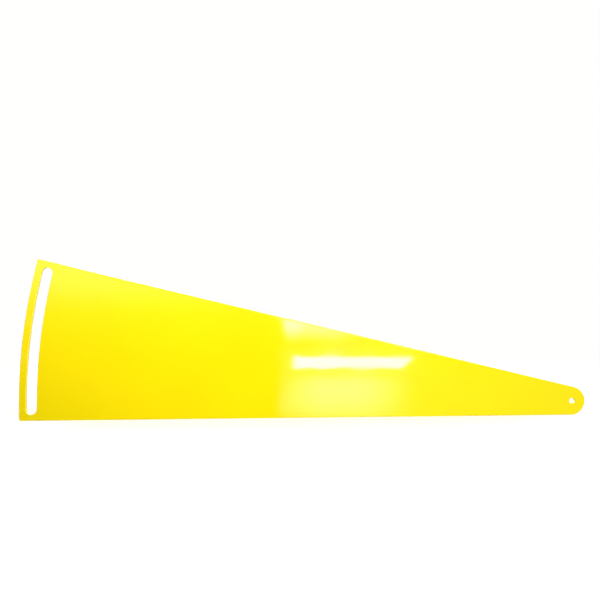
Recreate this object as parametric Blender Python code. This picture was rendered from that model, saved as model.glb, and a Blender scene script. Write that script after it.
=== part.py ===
"""Slotted sector plate: a flat, powder-coated leaf that swings about a pivot hole.

The plate is drawn flat, pivot hole at the origin, centreline along -X and
thickness along Z. An empty on the pivot axis then stands it up, so that its
lower straight edge is level and the pivot axis runs along Y. Metres, +Z up.
"""

from math import atan2, cos, pi, radians, sin, sqrt

import bmesh
import bpy
from mathutils import Vector

# Outline
ARC_RADIUS = 0.560              # pivot axis to the curved outer edge
EDGE_HALF_ANGLE = radians(7.0)  # each straight edge, measured from the centreline
TIP_RADIUS = 0.0143             # rounded narrow end, tangent to both straight edges
PIVOT_TO_TIP = 0.0128           # pivot axis to the very end of the tip
CORNER_RADIUS = 0.0012          # the two corners of the wide end
THICKNESS = 0.0035              # sheet and its coat
EDGE_ROUND = 0.0004             # softened rim of every cut edge

# Pivot hole
PIVOT_HOLE_DIAMETER = 0.0055

# Arc slot, concentric with the pivot hole
SLOT_WIDTH = 0.0110
OUTER_STRIP = 0.0070            # metal left between the slot and the curved edge
END_WEB = 0.0062                # metal left between a slot end and a straight edge

# How finely the round stretches are drawn
ARC_STEPS = 40
TIP_STEPS = 24
CORNER_STEPS = 6
CAP_STEPS = 14
HOLE_STEPS = 36
RIM_STEPS = 2

CUT_OVERSIZE = 4.0              # a cutter's height, in plate thicknesses


def arc(centre, radius, start, end, steps):
    """Points along a circular arc from angle start to angle end, both included."""
    turn = [start + (end - start) * step / steps for step in range(steps + 1)]
    return [centre + Vector((radius * cos(angle), radius * sin(angle))) for angle in turn]


def tip_centre():
    """Centre of the tip's arc, on the centreline just inboard of the pivot hole."""
    return Vector((PIVOT_TO_TIP - TIP_RADIUS, 0.0))


def upper_edge_direction():
    """Unit vector along the upper straight edge, from the tip to the wide end."""
    return Vector((-cos(EDGE_HALF_ANGLE), sin(EDGE_HALF_ANGLE)))


def upper_edge_normal():
    """Unit vector square to the upper straight edge, pointing out of the plate."""
    return Vector((sin(EDGE_HALF_ANGLE), cos(EDGE_HALF_ANGLE)))


def point_beside_edge(inset, radius):
    """The point at a radius from the pivot and at an inset inside the upper edge."""
    start = tip_centre() + (TIP_RADIUS - inset) * upper_edge_normal()
    along = upper_edge_direction()
    reach = -start.dot(along)
    return start + (reach + sqrt(reach * reach + radius * radius - start.length_squared)) * along


def mirrored(points):
    """The same points on the other side of the centreline, in reverse order."""
    return [Vector((point.x, -point.y)) for point in reversed(points)]


def plate_outline():
    """Closed outline: tip arc, lower corner, curved outer edge, upper corner."""
    tip_turn = pi / 2 - EDGE_HALF_ANGLE
    tip = arc(tip_centre(), TIP_RADIUS, tip_turn, -tip_turn, TIP_STEPS)

    corner_centre = point_beside_edge(CORNER_RADIUS, ARC_RADIUS - CORNER_RADIUS)
    edge_angle = atan2(upper_edge_normal().y, upper_edge_normal().x)
    outer_angle = atan2(corner_centre.y, corner_centre.x)
    upper_corner = arc(corner_centre, CORNER_RADIUS, outer_angle, edge_angle, CORNER_STEPS)

    outer_edge = arc(Vector((0.0, 0.0)), ARC_RADIUS, 2 * pi - outer_angle, outer_angle, ARC_STEPS)
    return tip + mirrored(upper_corner) + outer_edge[1:-1] + upper_corner


def slot_middle_radius():
    return ARC_RADIUS - OUTER_STRIP - SLOT_WIDTH / 2


def slot_half_turn():
    """Angle from the centreline to the centre of a slot end."""
    radius = slot_middle_radius()
    edge_point = point_beside_edge(0.0, radius)
    edge_turn = pi - atan2(edge_point.y, edge_point.x)
    return edge_turn - (END_WEB + SLOT_WIDTH / 2) / radius


def slot_outline():
    """Closed outline of the slot: two concentric arcs joined by round ends."""
    pivot = Vector((0.0, 0.0))
    half_turn = slot_half_turn()
    middle = slot_middle_radius()
    half_width = SLOT_WIDTH / 2
    upper, lower = pi - half_turn, pi + half_turn
    upper_end = pivot + middle * Vector((cos(upper), sin(upper)))
    lower_end = pivot + middle * Vector((cos(lower), sin(lower)))
    outer_side = arc(pivot, middle + half_width, upper, lower, ARC_STEPS)
    lower_cap = arc(lower_end, half_width, lower, lower + pi, CAP_STEPS)
    inner_side = arc(pivot, middle - half_width, lower, upper, ARC_STEPS)
    upper_cap = arc(upper_end, half_width, upper + pi, upper + 2 * pi, CAP_STEPS)
    return outer_side[:-1] + lower_cap[:-1] + inner_side[:-1] + upper_cap[:-1]


def prism(name, outline, height):
    """A closed prism of the given height, centred on Z = 0, from a flat outline."""
    mesh = bpy.data.meshes.new(name)
    shape = bmesh.new()
    rim = [shape.verts.new((point.x, point.y, -height / 2)) for point in outline]
    base = shape.faces.new(rim)
    lifted = bmesh.ops.extrude_face_region(shape, geom=[base])["geom"]
    top = [item for item in lifted if isinstance(item, bmesh.types.BMVert)]
    bmesh.ops.translate(shape, verts=top, vec=(0.0, 0.0, height))
    bmesh.ops.recalc_face_normals(shape, faces=shape.faces)
    shape.to_mesh(mesh)
    shape.free()
    return mesh


def drill(name, diameter, height):
    """A closed cylinder on the Z axis."""
    mesh = bpy.data.meshes.new(name)
    shape = bmesh.new()
    bmesh.ops.create_cone(
        shape, cap_ends=True, segments=HOLE_STEPS,
        radius1=diameter / 2, radius2=diameter / 2, depth=height,
    )
    shape.to_mesh(mesh)
    shape.free()
    return mesh


def add_object(name, mesh, parent):
    item = bpy.data.objects.new(name, mesh)
    item.parent = parent
    bpy.context.scene.collection.objects.link(item)
    return item


def add_cutter(name, mesh, parent):
    """A helper that is only there to cut: never rendered, drawn as wire."""
    cutter = add_object(name, mesh, parent)
    cutter.hide_render = True
    cutter.display_type = "WIRE"
    return cutter


def cut(target, cutter):
    step = target.modifiers.new(cutter.name, "BOOLEAN")
    step.operation = "DIFFERENCE"
    step.solver = "EXACT"
    step.object = cutter


def soften_rims(target):
    """Round every cut edge slightly, on both faces, the slot and the hole included."""
    step = target.modifiers.new("softened_rims", "BEVEL")
    step.width = EDGE_ROUND
    step.segments = RIM_STEPS
    step.limit_method = "ANGLE"
    step.angle_limit = radians(60.0)
    step.use_clamp_overlap = False


def yellow_powder_coat():
    material = bpy.data.materials.new("yellow_powder_coat")
    material.use_nodes = True
    shader = material.node_tree.nodes["Principled BSDF"]
    shader.inputs["Base Color"].default_value = (0.92, 0.70, 0.01, 1.0)
    shader.inputs["Metallic"].default_value = 0.0
    shader.inputs["Roughness"].default_value = 0.18
    return material


def pivot_axis():
    """Empty on the pivot axis: stands the plate up with its lower edge level."""
    stand = bpy.data.objects.new("pivot_axis", None)
    stand.rotation_euler = (pi / 2, EDGE_HALF_ANGLE, 0.0)
    bpy.context.scene.collection.objects.link(stand)
    return stand


def sector_plate(stand):
    plate = add_object("sector_plate", prism("sector_plate", plate_outline(), THICKNESS), stand)
    cut_height = CUT_OVERSIZE * THICKNESS
    slot = add_cutter("slot_cutter", prism("slot_cutter", slot_outline(), cut_height), stand)
    hole = add_cutter("hole_cutter", drill("hole_cutter", PIVOT_HOLE_DIAMETER, cut_height), stand)
    cut(plate, slot)
    cut(plate, hole)
    soften_rims(plate)
    plate.data.shade_smooth()
    plate.data.set_sharp_from_angle(angle=radians(30.0))
    plate.data.materials.append(yellow_powder_coat())
    return plate


def main():
    for item in list(bpy.data.objects):
        bpy.data.objects.remove(item, do_unlink=True)
    sector_plate(pivot_axis())


main()
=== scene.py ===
"""Looks for the slotted sector plate: a flat leaf in glossy yellow powder coat.

The plate is drawn flat first, pivot hole at the origin, centreline along -X and
thickness along Z. It is stood up at the end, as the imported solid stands: lower
straight edge level, pivot axis along Y. Metres, +Z up.
"""

from math import ceil, cos, hypot, pi, radians, sin, sqrt

import bmesh
import bpy
from mathutils import Euler, Matrix, Vector
from mathutils.geometry import delaunay_2d_cdt


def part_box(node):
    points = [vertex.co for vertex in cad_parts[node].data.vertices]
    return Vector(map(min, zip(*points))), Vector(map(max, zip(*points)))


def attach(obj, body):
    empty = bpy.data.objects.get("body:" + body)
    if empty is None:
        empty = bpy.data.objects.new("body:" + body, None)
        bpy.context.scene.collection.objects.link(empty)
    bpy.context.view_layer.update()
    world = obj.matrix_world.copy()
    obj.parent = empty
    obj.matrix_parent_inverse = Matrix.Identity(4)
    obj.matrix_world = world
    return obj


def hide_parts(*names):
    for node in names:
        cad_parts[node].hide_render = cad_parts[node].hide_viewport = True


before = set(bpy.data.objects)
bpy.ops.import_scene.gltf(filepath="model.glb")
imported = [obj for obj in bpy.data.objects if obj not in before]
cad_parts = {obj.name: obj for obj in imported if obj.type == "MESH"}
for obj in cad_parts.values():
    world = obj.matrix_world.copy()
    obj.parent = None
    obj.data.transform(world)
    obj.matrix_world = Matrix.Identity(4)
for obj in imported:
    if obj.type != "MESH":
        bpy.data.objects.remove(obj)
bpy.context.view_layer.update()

# The plate's sizes. Its solid's box gives the main ones: how far the plate reaches
# right of the pivot and below it gives the tip's arc.
PLATE_LOW, PLATE_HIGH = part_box("sector_plate")
EDGE_HALF_ANGLE = radians(7.0)      # each straight edge, measured from the centreline
ARC_RADIUS = -PLATE_LOW.x           # pivot axis to the curved outer edge
THICKNESS = PLATE_HIGH.y - PLATE_LOW.y
TIP_INSET = (-PLATE_LOW.z - PLATE_HIGH.x) / (cos(EDGE_HALF_ANGLE) - sin(EDGE_HALF_ANGLE))
TIP_RADIUS = PLATE_HIGH.x + TIP_INSET * cos(EDGE_HALF_ANGLE)
PIVOT_TO_TIP = TIP_RADIUS - TIP_INSET
CORNER_RADIUS = 0.0012
PIVOT_HOLE_RADIUS = 0.00275
SLOT_WIDTH = 0.0110
OUTER_STRIP = 0.0070                # metal between the slot and the curved edge
END_WEB = 0.0062                    # metal between a slot end and a straight edge
SLOT_RADIUS = ARC_RADIUS - OUTER_STRIP - SLOT_WIDTH / 2

# How finely the round stretches are drawn
TIP_STEPS = 72
CORNER_STEPS = 10
OUTER_EDGE_STEPS = 96
SLOT_SIDE_STEPS = 88
SLOT_CAP_STEPS = 32
HOLE_STEPS = 56
RIM_STEPS = 6                       # a quarter turn over a rounded rim

# The mesh
RIM_ROUND = 0.0004                  # softened rim of every cut edge
COAT_SHY = 0.00001                  # each face stays this far inside the solid's face
MESH_STEP = 0.004                   # spacing of the points across the faces
RIM_CLEARANCE = 0.0026              # face points keep this far from every rim
SLIVER = 0.0000001                  # shapes thinner than this are only rounding error
INSIDE_RIMS = 1                     # the triangulation that keeps to its outer edges

# How far the sheet is from truly flat. Each wave has its lengths along the sheet and
# across it, where it starts, and its share of the height.
WAVE_HEIGHT = 0.000007
WAVES = (
    (0.110, 0.083, 0.7, 0.35),
    (0.048, 0.034, 4.2, 0.50),
    (0.029, -0.036, 4.0, 0.15),
)
SLOPE_REACH = 0.0005                # how far to each side a slope is measured

# The powder coat. A pattern's size is in repeats to the metre.
FULL_COAT = (0.920, 0.720, 0.0012, 1.0)
DEEP_COAT = (0.905, 0.696, 0.0010, 1.0)
THIN_COAT = (0.935, 0.745, 0.0200, 1.0)
DUST = (0.700, 0.500, 0.0100, 1.0)
COAT_IOR = 1.5
PATCHES = 14.0                      # places with more and less coat
PATCH_RANGE = (0.35, 0.65)          # the pattern's values from deep to full coat
MOTTLE = 260.0
MOTTLE_RANGE = (0.45, 0.80)
MOTTLE_STRENGTH = 0.25
DUST_CELLS = 55.0                   # a cell holds one speck of dust at most
DUSTY_SHARE = 0.10                  # of the cells
SPECK_RADIUS = (0.010, 0.022)       # solid middle and faded edge, in cells
SPECK_STRENGTH = 0.5
HAZE = 35.0                         # glossier and duller places
HAZE_RANGE = (0.30, 0.70)
GLOSS = (0.030, 0.055)              # roughness where it is glossiest and dullest
RIM_DULLNESS = 0.10                 # roughness added right on a rim
DULL_REACH = 0.0030                 # how far inside a rim the coat is duller
THIN_REACH = (0.00005, 0.0006)      # inside a rim, where the coat goes from thin to full
PEEL = 420.0
PEEL_DEPTH = 0.0000022
SWELL = 120.0                       # the broader ripple under the orange peel
SWELL_DEPTH = 0.0000060
SPECK_DEPTH = 0.0000100

# The floor. Reaches are measured from the plate's middle.
MIDDLE = (PLATE_LOW + PLATE_HIGH) / 2
FLOOR_GAP = 0.0002                  # under the plate's lower edge
FLOOR_RADIUS = 1.6
FLOOR_SIDES = 96
FLOOR_DIM = (0.86, 0.86, 0.85, 1.0)
FLOOR_BRIGHT = (0.90, 0.90, 0.89, 1.0)
FLOOR_GRAIN = 90.0
FLOOR_GRAIN_DEPTH = 0.00003
FLOOR_ROUGHNESS = 0.7
FLOOR_GLOW = (0.05, 0.60)           # painted light on the floor: its glow near the plate, and far off to stay as pale as the rest
GLOW_REACH = (0.20, 0.45)           # where the glow rises
FADE_REACH = (0.34, 0.80)           # where the floor melts away

# The eye, measured from the plate's middle and its front face
EYE_OFFSET = -0.0077
EYE_DISTANCE = 0.628
EYE_RISE = 0.0333
EYE = Vector((MIDDLE.x + EYE_OFFSET, PLATE_LOW.y - EYE_DISTANCE, MIDDLE.z + EYE_RISE))
EYE_PITCH = radians(0.40)
EYE_YAW = radians(0.53)
EYE_ROLL = radians(-0.56)
LENS = 37.2                         # millimetres

# The lamps
FRONT_WATTS = 6.65
REAR_WATTS = 9.0
LOW_FILL_WATTS = 6.9
LEFT_FILL_WATTS = 2.0
FILL_GLOBE = 0.05                   # radius of a fill lamp
CARD_DISTANCE = 1.6                 # from the plate's face to the panels it mirrors
CARD_GAP = 0.005                    # between one panel and the next, so that none touch
PANEL_CUTS = 11                     # rows that keep a skewed panel's soft edges even
SIDE_PANEL_SIZE = (0.60, 0.80)
SIDE_PANEL_TURN = radians(20.0)
SIDE_PANEL_SOFTNESS = (0.35, 0.35)
SIDE_PANEL_BRIGHTNESS = 4.5

# The surroundings: what the eye sees, what lights matt surfaces and what the gloss
# mirrors. A direction's rise runs from -1, straight down, to 1, straight up. Its turn
# runs from -1, out in front of the plate, to 1, straight behind it.
WHITE = (1.0, 1.0, 0.99, 1.0)       # what the eye sees
FRONT_FILL = 0.02                   # light on matt surfaces from in front of the plate
REAR_FILL = 0.60                    # light on matt surfaces from behind it
FILL_TURN = (-0.05, 0.35)           # where the fill goes from the one to the other
FLOOR_BOUNCE = 0.90                 # light on matt surfaces from straight below
BOUNCE_RISE = (-0.90, -0.75)        # where the bounce gives way to the fill
ROOM_LEVEL = 2.0                    # scales the mirrored room in front
FRONT_ROOM = (                      # that room's rises, each with its brightness
    (-1.00, 0.28), (-0.42, 0.25), (-0.28, 0.08), (-0.16, 0.025), (-0.08, 0.030),
    (-0.045, 0.045), (-0.008, 0.11), (0.010, 0.30), (0.030, 0.68), (0.06, 0.95),
    (1.00, 0.60),
)
REAR_ROOM = (0.35, 1.3)             # the mirrored room behind, low down and high up
REAR_ROOM_RISE = (-0.6, 0.5)        # where it goes from the one to the other
ROOM_TURN = (0.0, 0.35)             # where the room in front gives way to the one behind


# ---------------------------------------------------------------- node helpers

def value_into(tree, socket, value):
    """Wire a socket to another one, or give it a plain value."""
    if isinstance(value, bpy.types.NodeSocket):
        tree.links.new(value, socket)
    else:
        socket.default_value = value


def arithmetic(tree, operation, first, second=0.0, third=0.0):
    """A Math node's result."""
    node = tree.nodes.new("ShaderNodeMath")
    node.operation = operation
    value_into(tree, node.inputs[0], first)
    value_into(tree, node.inputs[1], second)
    value_into(tree, node.inputs[2], third)
    return node.outputs[0]


# ---------------------------------------------------------------- the blank

RANK_GAP = 1000                     # more points than any one arc has
BLANK_SIZES = (
    "Arc Radius", "Edge Half Angle", "Tip Radius", "Tip Centre X", "Corner Radius",
    "Corner Turn", "Slot Radius", "Slot Width", "Slot Half Turn", "Hole Radius",
)


def rim_arc(tree, radius, start, sweep, steps, centre=(0.0, 0.0), rank=0, meets_next=True):
    """Points along one circular arc, each carrying its place in the rim line. An arc
    that meets the next one leaves their shared point to it."""
    arc = tree.nodes.new("GeometryNodeCurveArc")
    arc.mode = "RADIUS"
    arc.inputs["Resolution"].default_value = steps + 1
    value_into(tree, arc.inputs["Radius"], radius)
    value_into(tree, arc.inputs["Start Angle"], start)
    value_into(tree, arc.inputs["Sweep Angle"], sweep)

    place = tree.nodes.new("ShaderNodeCombineXYZ")
    value_into(tree, place.inputs["X"], centre[0])
    value_into(tree, place.inputs["Y"], centre[1])
    move = tree.nodes.new("GeometryNodeTransform")
    tree.links.new(arc.outputs["Curve"], move.inputs["Geometry"])
    tree.links.new(place.outputs[0], move.inputs["Translation"])

    points = tree.nodes.new("GeometryNodeCurveToPoints")
    points.mode = "EVALUATED"
    tree.links.new(move.outputs[0], points.inputs["Curve"])

    index = tree.nodes.new("GeometryNodeInputIndex")
    order = tree.nodes.new("GeometryNodeStoreNamedAttribute")
    order.data_type = "FLOAT"
    order.domain = "POINT"
    order.inputs["Name"].default_value = "order"
    tree.links.new(points.outputs["Points"], order.inputs["Geometry"])
    place_in_line = arithmetic(tree, "ADD", index.outputs[0], float(RANK_GAP * rank))
    tree.links.new(place_in_line, order.inputs["Value"])
    if not meets_next:
        return order.outputs["Geometry"]

    last = arithmetic(tree, "GREATER_THAN", index.outputs[0], steps - 0.5)
    drop = tree.nodes.new("GeometryNodeDeleteGeometry")
    drop.domain = "POINT"
    tree.links.new(order.outputs["Geometry"], drop.inputs["Geometry"])
    tree.links.new(last, drop.inputs["Selection"])
    return drop.outputs["Geometry"]


def closed_line(tree, arcs):
    """Join the arcs' points, in order, into one closed line."""
    join = tree.nodes.new("GeometryNodeJoinGeometry")
    for arc in arcs:
        tree.links.new(arc, join.inputs[0])
    order = tree.nodes.new("GeometryNodeInputNamedAttribute")
    order.data_type = "FLOAT"
    order.inputs["Name"].default_value = "order"
    curve = tree.nodes.new("GeometryNodePointsToCurves")
    tree.links.new(join.outputs[0], curve.inputs["Points"])
    tree.links.new(order.outputs["Attribute"], curve.inputs["Weight"])
    cyclic = tree.nodes.new("GeometryNodeSetSplineCyclic")
    cyclic.inputs["Cyclic"].default_value = True
    tree.links.new(curve.outputs[0], cyclic.inputs["Geometry"])
    return cyclic.outputs[0]


def outline_line(tree, size):
    """Tip, upper corner, curved outer edge, lower corner: four arcs, one way round."""
    half = size["Edge Half Angle"]
    turn = size["Corner Turn"]
    tip_start = arithmetic(tree, "SUBTRACT", half, pi / 2)
    tip_sweep = arithmetic(tree, "SUBTRACT", pi, arithmetic(tree, "MULTIPLY", half, 2.0))
    tip = rim_arc(tree, size["Tip Radius"], tip_start, tip_sweep, TIP_STEPS,
                  (size["Tip Centre X"], 0.0), rank=0, meets_next=False)

    reach = arithmetic(tree, "SUBTRACT", size["Arc Radius"], size["Corner Radius"])
    leftward = arithmetic(tree, "MULTIPLY", arithmetic(tree, "COSINE", turn), -1.0)
    corner_x = arithmetic(tree, "MULTIPLY", reach, leftward)
    corner_y = arithmetic(tree, "MULTIPLY", reach, arithmetic(tree, "SINE", turn))
    corner_low_y = arithmetic(tree, "MULTIPLY", corner_y, -1.0)
    upper_start = arithmetic(tree, "SUBTRACT", pi / 2, half)
    upper_end = arithmetic(tree, "SUBTRACT", pi, turn)
    corner_sweep = arithmetic(tree, "SUBTRACT", upper_end, upper_start)
    upper = rim_arc(tree, size["Corner Radius"], upper_start, corner_sweep, CORNER_STEPS,
                    (corner_x, corner_y), rank=1)
    outer_sweep = arithmetic(tree, "MULTIPLY", turn, 2.0)
    outer = rim_arc(tree, size["Arc Radius"], upper_end, outer_sweep, OUTER_EDGE_STEPS, rank=2)
    lower_start = arithmetic(tree, "ADD", pi, turn)
    lower = rim_arc(tree, size["Corner Radius"], lower_start, corner_sweep, CORNER_STEPS,
                    (corner_x, corner_low_y), rank=3, meets_next=False)
    return closed_line(tree, [tip, upper, outer, lower])


def slot_line(tree, size):
    """Two concentric arcs joined by round ends."""
    turn = size["Slot Half Turn"]
    half_width = arithmetic(tree, "MULTIPLY", size["Slot Width"], 0.5)
    outer_radius = arithmetic(tree, "ADD", size["Slot Radius"], half_width)
    inner_radius = arithmetic(tree, "SUBTRACT", size["Slot Radius"], half_width)
    upper = arithmetic(tree, "SUBTRACT", pi, turn)
    lower = arithmetic(tree, "ADD", pi, turn)
    sweep = arithmetic(tree, "MULTIPLY", turn, 2.0)
    back_sweep = arithmetic(tree, "MULTIPLY", turn, -2.0)
    end_x = arithmetic(tree, "MULTIPLY", size["Slot Radius"], arithmetic(tree, "COSINE", upper))
    end_y = arithmetic(tree, "MULTIPLY", size["Slot Radius"], arithmetic(tree, "SINE", upper))
    end_low_y = arithmetic(tree, "MULTIPLY", end_y, -1.0)
    upper_cap_start = arithmetic(tree, "ADD", upper, pi)

    outer = rim_arc(tree, outer_radius, upper, sweep, SLOT_SIDE_STEPS, rank=0)
    lower_cap = rim_arc(tree, half_width, lower, pi, SLOT_CAP_STEPS,
                        (end_x, end_low_y), rank=1)
    inner = rim_arc(tree, inner_radius, lower, back_sweep, SLOT_SIDE_STEPS, rank=2)
    upper_cap = rim_arc(tree, half_width, upper_cap_start, pi, SLOT_CAP_STEPS,
                        (end_x, end_y), rank=3)
    return closed_line(tree, [outer, lower_cap, inner, upper_cap])


def hole_line(tree, size):
    """A full turn round the pivot axis."""
    turn = rim_arc(tree, size["Hole Radius"], 0.0, 2 * pi, HOLE_STEPS)
    return closed_line(tree, [turn])


def blank_tree(coat):
    """Geometry nodes that cut the plate's flat blank, slot and hole open, from its sizes."""
    tree = bpy.data.node_groups.new("blank", "GeometryNodeTree")
    for name in BLANK_SIZES:
        tree.interface.new_socket(name, in_out="INPUT", socket_type="NodeSocketFloat")
    tree.interface.new_socket("Geometry", in_out="OUTPUT", socket_type="NodeSocketGeometry")
    size = tree.nodes.new("NodeGroupInput").outputs

    join = tree.nodes.new("GeometryNodeJoinGeometry")
    for line in (outline_line(tree, size), slot_line(tree, size), hole_line(tree, size)):
        tree.links.new(line, join.inputs[0])
    fill = tree.nodes.new("GeometryNodeFillCurve")
    tree.links.new(join.outputs[0], fill.inputs["Curve"])
    realize = tree.nodes.new("GeometryNodeRealizeInstances")
    tree.links.new(fill.outputs[0], realize.inputs[0])
    paint = tree.nodes.new("GeometryNodeSetMaterial")
    paint.inputs["Material"].default_value = coat
    tree.links.new(realize.outputs[0], paint.inputs["Geometry"])
    result = tree.nodes.new("NodeGroupOutput")
    tree.links.new(paint.outputs[0], result.inputs["Geometry"])
    return tree


def tip_centre():
    """Centre of the tip's arc, on the centreline just inboard of the pivot hole."""
    return Vector((-TIP_INSET, 0.0))


def point_beside_edge(inset, radius):
    """The point at a radius from the pivot and at an inset inside the upper edge."""
    normal = Vector((sin(EDGE_HALF_ANGLE), cos(EDGE_HALF_ANGLE)))
    along = Vector((-cos(EDGE_HALF_ANGLE), sin(EDGE_HALF_ANGLE)))
    start = tip_centre() + (TIP_RADIUS - inset) * normal
    reach = -start.dot(along)
    return start + (reach + sqrt(reach * reach + radius * radius - start.length_squared)) * along


def turn_of(point):
    """Angle of a point about the pivot, measured from the centreline."""
    return Vector((-1.0, 0.0)).angle(point)


def slot_half_turn():
    """Angle from the centreline to the centre of a slot end."""
    edge_turn = turn_of(point_beside_edge(0.0, SLOT_RADIUS))
    return edge_turn - (END_WEB + SLOT_WIDTH / 2) / SLOT_RADIUS


def baked(item):
    """The evaluated object as a plain mesh, with no modifier left."""
    graph = bpy.context.evaluated_depsgraph_get()
    shot = item.evaluated_get(graph)
    mesh = bpy.data.meshes.new_from_object(shot, preserve_all_data_layers=True, depsgraph=graph)
    item.modifiers.clear()
    return mesh


def blank(coat):
    """The plate's face as one flat cut shape, with the slot and the hole open."""
    sizes = {
        "Arc Radius": ARC_RADIUS,
        "Edge Half Angle": EDGE_HALF_ANGLE,
        "Tip Radius": TIP_RADIUS,
        "Tip Centre X": tip_centre().x,
        "Corner Radius": CORNER_RADIUS,
        "Corner Turn": turn_of(point_beside_edge(CORNER_RADIUS, ARC_RADIUS - CORNER_RADIUS)),
        "Slot Radius": SLOT_RADIUS,
        "Slot Width": SLOT_WIDTH,
        "Slot Half Turn": slot_half_turn(),
        "Hole Radius": PIVOT_HOLE_RADIUS,
    }
    guide = bpy.data.objects.new("blank", bpy.data.meshes.new("blank"))
    bpy.context.scene.collection.objects.link(guide)
    step = guide.modifiers.new("blank", "NODES")
    step.node_group = blank_tree(coat)
    for socket in step.node_group.interface.items_tree:
        if socket.in_out == "INPUT":
            step[socket.identifier] = sizes[socket.name]
    mesh = baked(guide)
    bpy.data.objects.remove(guide)
    return mesh


# ---------------------------------------------------------------- the plate

def inside_by(x, y):
    """How far a point of the flat plate is inside its nearest rim; negative outside."""
    centre = tip_centre()
    across = abs(y) * cos(EDGE_HALF_ANGLE) + (x - centre.x) * sin(EDGE_HALF_ANGLE)
    straight = TIP_RADIUS - across
    tip = TIP_RADIUS - hypot(x - centre.x, y) if x > centre.x else straight
    radius = hypot(x, y)
    outer = ARC_RADIUS - radius
    hole = radius - PIVOT_HOLE_RADIUS
    half_turn = slot_half_turn()
    turn = turn_of(Vector((x, y))) if radius > 0 else 0.0
    if turn < half_turn:
        slot = abs(radius - SLOT_RADIUS)
    else:
        slot = hypot(-x - SLOT_RADIUS * cos(half_turn), abs(y) - SLOT_RADIUS * sin(half_turn))
    return min(straight, tip, outer, hole, slot - SLOT_WIDTH / 2)


def wave(x, y):
    """The rolled sheet's slight waviness, well under a hundredth of a millimetre."""
    height = 0.0
    for along, across, start, share in WAVES:
        height += share * sin(2 * pi * (x / along + y / across) + start)
    return WAVE_HEIGHT * height


def face_points():
    """Evenly spread points across the face, clear of every rim."""
    row_gap = MESH_STEP * sqrt(3) / 2
    rows = ceil(point_beside_edge(0.0, ARC_RADIUS).y / row_gap)
    columns = ceil((ARC_RADIUS + PIVOT_TO_TIP) / MESH_STEP)
    points = []
    for row in range(-rows, rows + 1):
        shift = MESH_STEP / 2 if row % 2 else 0.0
        for column in range(columns):
            x = PIVOT_TO_TIP - shift - column * MESH_STEP
            y = row * row_gap
            if inside_by(x, y) > RIM_CLEARANCE:
                points.append(Vector((x, y)))
    return points


def rim_loops(face):
    """The blank's open edges, walked into closed loops of points."""
    shape = bmesh.new()
    shape.from_mesh(face)
    waiting = {edge for edge in shape.edges if edge.is_boundary}
    loops = []
    while waiting:
        edge = min(waiting, key=lambda item: item.index)
        vert, loop = edge.verts[0], []
        while edge is not None:
            waiting.discard(edge)
            loop.append(vert.co.xy.copy())
            vert = edge.other_vert(vert)
            edge = next((item for item in vert.link_edges if item in waiting), None)
        loops.append(evenly_divided(loop))
    shape.free()
    return loops


def evenly_divided(loop):
    """The same loop with its long straight stretches divided into short ones."""
    points = []
    for start, end in zip(loop, loop[1:] + loop[:1]):
        pieces = max(1, round((end - start).length / MESH_STEP))
        points += [start.lerp(end, step / pieces) for step in range(pieces)]
    return points


def outward_normals(loop):
    """At each point of a loop, the direction square to it and away from the metal."""
    normals = []
    for before, here, after in zip(loop[-1:] + loop[:-1], loop, loop[1:] + loop[:1]):
        along = (here - before).normalized() + (after - here).normalized()
        normal = Vector((along.y, -along.x)).normalized()
        outer = here + RIM_ROUND * normal
        inner = here - RIM_ROUND * normal
        if inside_by(*outer) > inside_by(*inner):
            normal = -normal
        normals.append(normal)
    return normals


def rim_profile(half):
    """The rounded edge in section: inset, height and lean of its normal, face to face."""
    quarter = [pi / 2 * step / RIM_STEPS for step in range(RIM_STEPS + 1)]
    upper = []
    for lean in quarter:
        inset = RIM_ROUND * (1 - sin(lean))
        upper.append((inset, half - RIM_ROUND * (1 - cos(lean)), lean))
    lower = [(inset, -height, pi - lean) for inset, height, lean in reversed(upper)]
    return upper + lower


def flat_face(rims):
    """Triangles that fill the face between its rims, with the face's inner points."""
    points, edges = [], []
    for rim in rims:
        first, count = len(points), len(rim)
        points += rim
        edges += [(first + step, first + (step + 1) % count) for step in range(count)]
    points += face_points()
    filled = delaunay_2d_cdt(points, edges, [], INSIDE_RIMS, SLIVER)
    triangles, sources = filled[2], filled[3]
    kept = []
    for triangle in triangles:
        corners = [sources[corner][0] for corner in triangle]
        middle = sum((points[corner] for corner in corners), Vector((0.0, 0.0))) / 3
        if inside_by(middle.x, middle.y) > RIM_ROUND - SLIVER:
            kept.append(corners)
    return points, kept


class SheetMesh:
    """Points with their normals, and the faces between them."""

    def __init__(self):
        self.points = []
        self.normals = []
        self.faces = []

    def add_point(self, x, y, height, normal):
        """A new point, lifted by the sheet's waviness. Gives back its number."""
        self.points.append((x, y, height + wave(x, y)))
        self.normals.append(normal)
        return len(self.points) - 1

    def add_face_side(self, flat_points, triangles, height, side):
        """One face of the sheet; side is 1 for the upper face and -1 for the lower."""
        numbers = []
        for point in flat_points:
            normal = side * surface_normal(point.x, point.y)
            numbers.append(self.add_point(point.x, point.y, side * height, normal))
        for triangle in triangles:
            self.faces.append([numbers[corner] for corner in triangle])
        return numbers

    def add_rim(self, loop, normals, profile, upper, lower):
        """The rounded edge along one loop, between the two faces' own rim points."""
        rings = [upper]
        for inset, height, lean in profile[1:-1]:
            ring = []
            for point, out in zip(loop, normals):
                place = point - inset * out
                normal = Vector((sin(lean) * out.x, sin(lean) * out.y, cos(lean)))
                ring.append(self.add_point(place.x, place.y, height, normal))
            rings.append(ring)
        rings.append(lower)
        count = len(loop)
        for above, below in zip(rings, rings[1:]):
            for step in range(count):
                after = (step + 1) % count
                self.faces.append([above[step], above[after], below[after], below[step]])


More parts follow.
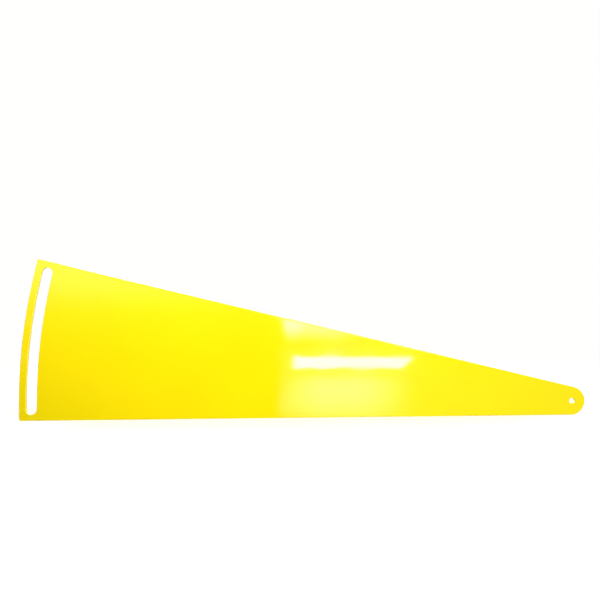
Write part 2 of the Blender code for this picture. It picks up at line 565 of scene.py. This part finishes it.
def surface_normal(x, y):
    """Normal of the upper face, which the slight waviness tilts."""
    reach = SLOPE_REACH
    slope_x = (wave(x + reach, y) - wave(x - reach, y)) / (2 * reach)
    slope_y = (wave(x, y + reach) - wave(x, y - reach)) / (2 * reach)
    return Vector((-slope_x, -slope_y, 1.0)).normalized()


def sheet(coat):
    """The coated sheet, lying flat: two faces joined by rounded rims."""
    half = THICKNESS / 2 - COAT_SHY
    profile = rim_profile(half)
    loops = rim_loops(blank(coat))
    normals = [outward_normals(loop) for loop in loops]
    insets = []
    for loop, outs in zip(loops, normals):
        insets.append([point - RIM_ROUND * out for point, out in zip(loop, outs)])
    points, triangles = flat_face(insets)

    made = SheetMesh()
    upper = made.add_face_side(points, triangles, half, 1)
    lower = made.add_face_side(points, triangles, half, -1)
    first = 0
    for loop, outs in zip(loops, normals):
        last = first + len(loop)
        made.add_rim(loop, outs, profile, upper[first:last], lower[first:last])
        first = last
    return made


def closed_mesh(made):
    """The sheet as a mesh whose faces all point outwards."""
    mesh = bpy.data.meshes.new("sector_plate_coated")
    mesh.from_pydata(made.points, [], made.faces)
    shape = bmesh.new()
    shape.from_mesh(mesh)
    bmesh.ops.recalc_face_normals(shape, faces=shape.faces)
    shape.to_mesh(mesh)
    shape.free()
    return mesh


def note_rim_distance(mesh):
    """Each point's distance inside the nearest rim, for the coat's edge finish."""
    distance = mesh.attributes.new("inside_rim", "FLOAT", "POINT")
    for vert in mesh.vertices:
        distance.data[vert.index].value = max(0.0, inside_by(vert.co.x, vert.co.y))


def coated_plate():
    """The visible plate, stood up where its solid stands."""
    coat = yellow_powder_coat()
    made = sheet(coat)
    mesh = closed_mesh(made)
    note_rim_distance(mesh)
    upright = Euler((pi / 2, EDGE_HALF_ANGLE, 0.0)).to_matrix()
    mesh.transform(upright.to_4x4())
    mesh.shade_smooth()
    mesh.normals_split_custom_set_from_vertices([upright @ normal for normal in made.normals])
    mesh.materials.append(coat)
    item = bpy.data.objects.new("sector_plate_coated", mesh)
    bpy.context.scene.collection.objects.link(item)
    return item


# ---------------------------------------------------------------- powder coat

def noise(tree, where, scale, detail=2.0, roughness=0.5):
    """A cloudy pattern from 0 to 1, in repeats to the metre."""
    node = tree.nodes.new("ShaderNodeTexNoise")
    node.inputs["Scale"].default_value = scale
    node.inputs["Detail"].default_value = detail
    node.inputs["Roughness"].default_value = roughness
    tree.links.new(where, node.inputs["Vector"])
    return node.outputs["Fac"]


def spread(tree, value, span, result):
    """Map one range of values to another, held at both ends."""
    node = tree.nodes.new("ShaderNodeMapRange")
    node.inputs["From Min"].default_value, node.inputs["From Max"].default_value = span
    node.inputs["To Min"].default_value, node.inputs["To Max"].default_value = result
    tree.links.new(value, node.inputs["Value"])
    return node.outputs["Result"]


def blended(tree, share, first, second):
    """A colour between two, by a share from 0 to 1."""
    node = tree.nodes.new("ShaderNodeMix")
    node.data_type = "RGBA"
    value_into(tree, node.inputs["Factor"], share)
    value_into(tree, node.inputs["A"], first)
    value_into(tree, node.inputs["B"], second)
    return node.outputs["Result"]


def raised(tree, height, depth, below=None):
    """A bump layer: height from 0 to 1 times a depth in metres."""
    node = tree.nodes.new("ShaderNodeBump")
    node.inputs["Strength"].default_value = 1.0
    node.inputs["Distance"].default_value = depth
    tree.links.new(height, node.inputs["Height"])
    if below is not None:
        tree.links.new(below, node.inputs["Normal"])
    return node.outputs["Normal"]


def yellow_powder_coat():
    """Glossy baked coat: orange peel, faint mottling, dust specks, rubbed rims."""
    material = bpy.data.materials.new("yellow_powder_coat")
    material.use_nodes = True
    tree = material.node_tree
    shader = tree.nodes["Principled BSDF"]
    where = tree.nodes.new("ShaderNodeTexCoord").outputs["Object"]
    rim = tree.nodes.new("ShaderNodeAttribute")
    rim.attribute_name = "inside_rim"
    inside = rim.outputs["Fac"]

    # Colour: thin and thick patches of coat, paler where it thins over a rim
    patches = noise(tree, where, PATCHES, detail=3.0)
    mottle = noise(tree, where, MOTTLE, detail=2.0)
    fullness = spread(tree, patches, PATCH_RANGE, (0.0, 1.0))
    colour = blended(tree, fullness, DEEP_COAT, FULL_COAT)
    mottled = spread(tree, mottle, MOTTLE_RANGE, (0.0, MOTTLE_STRENGTH))
    colour = blended(tree, mottled, colour, DEEP_COAT)
    at_rim = spread(tree, inside, THIN_REACH, (1.0, 0.0))
    colour = blended(tree, at_rim, colour, THIN_COAT)

    # Dust specks under the coat, a few to the hand's breadth
    cells = tree.nodes.new("ShaderNodeTexVoronoi")
    cells.inputs["Scale"].default_value = DUST_CELLS
    tree.links.new(where, cells.inputs["Vector"])
    rare = tree.nodes.new("ShaderNodeSeparateColor")
    tree.links.new(cells.outputs["Color"], rare.inputs[0])
    chosen = arithmetic(tree, "GREATER_THAN", rare.outputs[0], 1.0 - DUSTY_SHARE)
    dot = spread(tree, cells.outputs["Distance"], SPECK_RADIUS, (SPECK_STRENGTH, 0.0))
    speck = arithmetic(tree, "MULTIPLY", chosen, dot)
    tree.links.new(blended(tree, speck, colour, DUST), shader.inputs["Base Color"])

    # Gloss: nearly mirror-like, a little duller in patches and along the rims
    haze = noise(tree, where, HAZE, detail=4.0)
    gloss = spread(tree, haze, HAZE_RANGE, GLOSS)
    rubbed = spread(tree, inside, (0.0, DULL_REACH), (RIM_DULLNESS, 0.0))
    tree.links.new(arithmetic(tree, "ADD", gloss, rubbed), shader.inputs["Roughness"])

    # Orange peel: fine ripple on a broader, lower swell
    peel = noise(tree, where, PEEL, detail=1.0, roughness=0.3)
    swell = noise(tree, where, SWELL, detail=1.0, roughness=0.4)
    surface = raised(tree, swell, SWELL_DEPTH)
    surface = raised(tree, peel, PEEL_DEPTH, surface)
    surface = raised(tree, speck, SPECK_DEPTH, surface)
    tree.links.new(surface, shader.inputs["Normal"])

    shader.inputs["IOR"].default_value = COAT_IOR
    return material


# ---------------------------------------------------------------- surroundings

def pale_floor():
    """A wide pale floor that melts into the surroundings far from the plate. Its glow is painted
    light, faint near the plate and brighter far off.
    """
    material = bpy.data.materials.new("pale_floor")
    material.use_nodes = True
    tree = material.node_tree
    shader = tree.nodes["Principled BSDF"]
    where = tree.nodes.new("ShaderNodeTexCoord").outputs["Object"]
    grain = noise(tree, where, FLOOR_GRAIN, detail=4.0)
    tree.links.new(blended(tree, grain, FLOOR_DIM, FLOOR_BRIGHT), shader.inputs["Base Color"])
    shader.inputs["Roughness"].default_value = FLOOR_ROUGHNESS
    shader.inputs["Specular IOR Level"].default_value = 0.0
    shader.inputs["Emission Color"].default_value = (1.0, 1.0, 1.0, 1.0)
    tree.links.new(raised(tree, grain, FLOOR_GRAIN_DEPTH), shader.inputs["Normal"])

    reach = tree.nodes.new("ShaderNodeVectorMath")
    reach.operation = "LENGTH"
    tree.links.new(where, reach.inputs[0])
    # Painted light: the floor's glow grows stronger the farther it is from the plate
    glow_level = spread(tree, reach.outputs["Value"], GLOW_REACH, FLOOR_GLOW)
    tree.links.new(glow_level, shader.inputs["Emission Strength"])
    fade = spread(tree, reach.outputs["Value"], FADE_REACH, (0.0, 1.0))
    clear = tree.nodes.new("ShaderNodeBsdfTransparent")
    mix = tree.nodes.new("ShaderNodeMixShader")
    tree.links.new(fade, mix.inputs[0])
    tree.links.new(shader.outputs[0], mix.inputs[1])
    tree.links.new(clear.outputs[0], mix.inputs[2])
    tree.links.new(mix.outputs[0], tree.nodes["Material Output"].inputs["Surface"])
    return material


def floor():
    """The floor. It stays out of mirror reflections, where it would hide the panels that
    stand below its level, and the surroundings give the light that it would throw up."""
    shape = bmesh.new()
    bmesh.ops.create_circle(shape, cap_ends=True, segments=FLOOR_SIDES, radius=FLOOR_RADIUS)
    mesh = bpy.data.meshes.new("floor")
    shape.to_mesh(mesh)
    shape.free()
    mesh.materials.append(pale_floor())
    item = bpy.data.objects.new("floor", mesh)
    item.location = (MIDDLE.x, 0.0, PLATE_LOW.z - FLOOR_GAP)
    bpy.context.scene.collection.objects.link(item)
    item.visible_glossy = False
    item.visible_diffuse = False


def surroundings():
    """White to the eye, a soft fill on matt surfaces, a dim-to-bright room in the gloss."""
    world = bpy.data.worlds.new("surroundings")
    world.use_nodes = True
    bpy.context.scene.world = world
    tree = world.node_tree
    backdrop = tree.nodes["Background"]
    ray = tree.nodes.new("ShaderNodeLightPath")
    direction = tree.nodes.new("ShaderNodeTexCoord").outputs["Generated"]
    split = tree.nodes.new("ShaderNodeSeparateXYZ")
    tree.links.new(direction, split.inputs[0])

    room = tree.nodes.new("ShaderNodeValToRGB")
    ramp = room.color_ramp
    while len(ramp.elements) < len(FRONT_ROOM):
        ramp.elements.new(0.5)
    for element, (rise, level) in zip(ramp.elements, FRONT_ROOM):
        element.position = (rise + 1) / 2
        element.color = (level, level, level, 1.0)
    place_on_ramp = arithmetic(tree, "MULTIPLY_ADD", split.outputs["Z"], 0.5, 0.5)
    tree.links.new(place_on_ramp, room.inputs[0])

    front_room = arithmetic(tree, "MULTIPLY", room.outputs[0], ROOM_LEVEL)
    rear_room = spread(tree, split.outputs["Z"], REAR_ROOM_RISE, REAR_ROOM)
    behind = spread(tree, split.outputs["Y"], ROOM_TURN, (0.0, 1.0))
    mirrored = blended(tree, behind, front_room, rear_room)
    sideways = spread(tree, split.outputs["Y"], FILL_TURN, (FRONT_FILL, REAR_FILL))
    downward = spread(tree, split.outputs["Z"], BOUNCE_RISE, (1.0, 0.0))
    bounce = (FLOOR_BOUNCE, FLOOR_BOUNCE, FLOOR_BOUNCE, 1.0)
    fill = blended(tree, downward, sideways, bounce)
    seen = blended(tree, ray.outputs["Is Glossy Ray"], fill, mirrored)
    seen = blended(tree, ray.outputs["Is Camera Ray"], seen, WHITE)
    tree.links.new(seen, backdrop.inputs["Color"])
    backdrop.inputs["Strength"].default_value = 1.0


def soft_lamp(name, place, target, size, watts):
    """A rectangular soft box aimed at a point."""
    lamp = bpy.data.lights.new(name, "AREA")
    lamp.shape = "RECTANGLE"
    lamp.size, lamp.size_y = size
    lamp.energy = watts
    item = bpy.data.objects.new(name, lamp)
    item.location = place
    item.rotation_euler = (Vector(target) - Vector(place)).to_track_quat("-Z", "Y").to_euler()
    item.visible_camera = False
    bpy.context.scene.collection.objects.link(item)
    return item


def fill_lamp(name, place, watts):
    """A globe that evens out the light on the coat, with no shadow or glint of its own."""
    lamp = bpy.data.lights.new(name, "POINT")
    lamp.shadow_soft_size = FILL_GLOBE
    lamp.energy = watts
    lamp.use_shadow = False
    item = bpy.data.objects.new(name, lamp)
    item.location = place
    item.visible_camera = False
    item.visible_glossy = False
    bpy.context.scene.collection.objects.link(item)


def behind_mirror(x, z):
    """Where a panel has to be for the eye to see it at x, z on the plate's front face."""
    stretch = 1.0 + CARD_DISTANCE / (PLATE_LOW.y - EYE.y)
    return Vector((
        EYE.x + (x - EYE.x) * stretch,
        PLATE_LOW.y - CARD_DISTANCE,
        EYE.z + (z - EYE.z) * stretch,
    ))


def glow_panel(name, places, brightness, soft_across, soft_up):
    """A lit panel that only the gloss sees, between four places: lower left, lower
    right, upper right, upper left."""
    shape = bmesh.new()
    uv = shape.loops.layers.uv.new("panel")
    face = shape.faces.new([shape.verts.new(place) for place in places])
    for loop, place in zip(face.loops, ((0, 0), (1, 0), (1, 1), (0, 1))):
        loop[uv].uv = place
    bmesh.ops.subdivide_edges(shape, edges=shape.edges, cuts=PANEL_CUTS, use_grid_fill=True)
    mesh = bpy.data.meshes.new(name)
    shape.to_mesh(mesh)
    shape.free()
    mesh.materials.append(glow(name, brightness, soft_across, soft_up))
    item = bpy.data.objects.new(name, mesh)
    item.visible_camera = False
    item.visible_diffuse = False
    item.visible_shadow = False
    bpy.context.scene.collection.objects.link(item)


def glow_card(name, corners, brightness, soft_across, soft_up, layer=0):
    """A panel placed by where its reflection lies on the plate's front face. A higher
    layer stands nearer to the plate, so that no two panels meet."""
    nearer = Vector((0.0, CARD_GAP * layer, 0.0))
    places = [behind_mirror(x, z) + nearer for x, z in corners]
    glow_panel(name, places, brightness, soft_across, soft_up)


def side_panel(name, direction, turn):
    """A broad soft panel, well off to one side and square to the plate's middle."""
    outward = Vector(direction).normalized()
    across = Vector((0.0, 0.0, 1.0)).cross(outward).normalized()
    upward = outward.cross(across)
    right = across * cos(turn) + upward * sin(turn)
    up = upward * cos(turn) - across * sin(turn)
    centre = MIDDLE + CARD_DISTANCE * outward
    places = []
    width, height = SIDE_PANEL_SIZE
    for step_right, step_up in ((-0.5, -0.5), (0.5, -0.5), (0.5, 0.5), (-0.5, 0.5)):
        places.append(centre + width * step_right * right + height * step_up * up)
    softness = SIDE_PANEL_SOFTNESS
    glow_panel(name, places, SIDE_PANEL_BRIGHTNESS, softness, softness)


def soft_edge(tree, place, low_softness, high_softness):
    """Rises from 0 at one side of the panel and falls to 0 at the other, each over its
    own share of the panel."""
    rise = tree.nodes.new("ShaderNodeMapRange")
    rise.interpolation_type = "SMOOTHSTEP"
    rise.inputs["From Max"].default_value = low_softness
    tree.links.new(place, rise.inputs["Value"])
    fall = tree.nodes.new("ShaderNodeMapRange")
    fall.interpolation_type = "SMOOTHSTEP"
    fall.inputs["From Min"].default_value = 1.0
    fall.inputs["From Max"].default_value = 1.0 - high_softness
    tree.links.new(place, fall.inputs["Value"])
    return arithmetic(tree, "MULTIPLY", rise.outputs[0], fall.outputs[0])


def glow(name, brightness, soft_across, soft_up):
    """Light added to whatever stands behind the panel, with soft or crisp edges."""
    material = bpy.data.materials.new(name)
    material.use_nodes = True
    tree = material.node_tree
    tree.nodes.remove(tree.nodes["Principled BSDF"])
    split = tree.nodes.new("ShaderNodeSeparateXYZ")
    tree.links.new(tree.nodes.new("ShaderNodeTexCoord").outputs["UV"], split.inputs[0])
    across = soft_edge(tree, split.outputs["X"], *soft_across)
    upward = soft_edge(tree, split.outputs["Y"], *soft_up)
    shine = tree.nodes.new("ShaderNodeEmission")
    level = arithmetic(tree, "MULTIPLY", across, upward)
    tree.links.new(arithmetic(tree, "MULTIPLY", level, brightness), shine.inputs["Strength"])
    clear = tree.nodes.new("ShaderNodeBsdfTransparent")
    both = tree.nodes.new("ShaderNodeAddShader")
    tree.links.new(shine.outputs[0], both.inputs[0])
    tree.links.new(clear.outputs[0], both.inputs[1])
    tree.links.new(both.outputs[0], tree.nodes["Material Output"].inputs["Surface"])
    return material


def lamps():
    """Soft boxes and fill lamps light the coat; the panels are what its gloss mirrors."""
    centre = (MIDDLE.x, 0.0, MIDDLE.z)
    soft_lamp("front_lamp", place=(0.25, -0.55, 0.65), target=centre, size=(0.40, 0.30),
              watts=FRONT_WATTS)
    rear = soft_lamp("rear_lamp", place=(-0.55, 1.05, 0.35), target=centre, size=(0.60, 0.40),
                     watts=REAR_WATTS)
    rear.data.use_shadow = False
    fill_lamp("low_fill", place=(-0.189, -0.481, 0.040), watts=LOW_FILL_WATTS)
    fill_lamp("left_fill", place=(-0.505, -0.250, 0.226), watts=LEFT_FILL_WATTS)

    # The corners are where a card's reflection lies, as x and z on the plate's face:
    # a strip light, the glow under it, a faint wide glow round both, and the glow above
    glow_card("tube_lamp",
              [(-0.2865, 0.0357), (-0.171, 0.0353), (-0.160, 0.0456), (-0.2865, 0.0480)],
              brightness=21.5, soft_across=(0.07, 0.03), soft_up=(0.06, 0.04))
    glow_card("low_glow",
              [(-0.300, -0.030), (-0.157, -0.030), (-0.157, 0.0355), (-0.300, 0.0355)],
              brightness=4.7, soft_across=(0.35, 0.46), soft_up=(0.67, 0.27), layer=2)
    glow_card("low_step",
              [(-0.2985, -0.014), (-0.245, -0.014), (-0.245, 0.030), (-0.2985, 0.030)],
              brightness=0.9, soft_across=(0.07, 0.90), soft_up=(0.35, 0.60), layer=3)
    glow_card("side_glow",
              [(-0.309, -0.050), (-0.105, -0.050), (-0.105, 0.070), (-0.300, 0.067)],
              brightness=0.70, soft_across=(0.08, 0.50), soft_up=(0.02, 0.15), layer=4)
    glow_card("tip_glow",
              [(-0.160, -0.050), (0.060, -0.050), (0.060, 0.060), (-0.160, 0.060)],
              brightness=0.25, soft_across=(0.20, 0.02), soft_up=(0.02, 0.30), layer=6)
    glow_card("high_glow",
              [(-0.2905, 0.060), (-0.215, 0.060), (-0.215, 0.088), (-0.297, 0.088)],
              brightness=8.0, soft_across=(0.08, 0.35), soft_up=(0.80, 0.01), layer=8)
    glow_card("high_spot",
              [(-0.2880, 0.066), (-0.270, 0.066), (-0.264, 0.090), (-0.297, 0.090)],
              brightness=5.0, soft_across=(0.15, 0.60), soft_up=(0.55, 0.01), layer=9)

    side_panel("front_side_panel", direction=(-0.70, -0.60, -0.43), turn=SIDE_PANEL_TURN)
    side_panel("rear_side_panel", direction=(0.66, 0.70, -0.26), turn=-SIDE_PANEL_TURN)


def camera():
    """The eye, level with the plate's upper half and square to its face."""
    lens = bpy.data.cameras.new("camera")
    lens.lens = LENS
    item = bpy.data.objects.new("camera", lens)
    forward = Vector((
        sin(EYE_YAW) * cos(EYE_PITCH), cos(EYE_YAW) * cos(EYE_PITCH), sin(EYE_PITCH),
    ))
    level_right = Vector((cos(EYE_YAW), -sin(EYE_YAW), 0.0))
    level_up = level_right.cross(forward)
    right = level_right * cos(EYE_ROLL) + level_up * sin(EYE_ROLL)
    up = level_up * cos(EYE_ROLL) - level_right * sin(EYE_ROLL)
    turn = Matrix((right, up, -forward)).transposed().to_4x4()
    item.matrix_world = Matrix.Translation(EYE) @ turn
    bpy.context.scene.collection.objects.link(item)
    bpy.context.scene.camera = item


# ---------------------------------------------------------------- make it all

camera()
floor()
surroundings()
lamps()
bpy.context.scene.view_settings.view_transform = "Standard"

plate = coated_plate()
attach(plate, "root")
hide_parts("sector_plate")
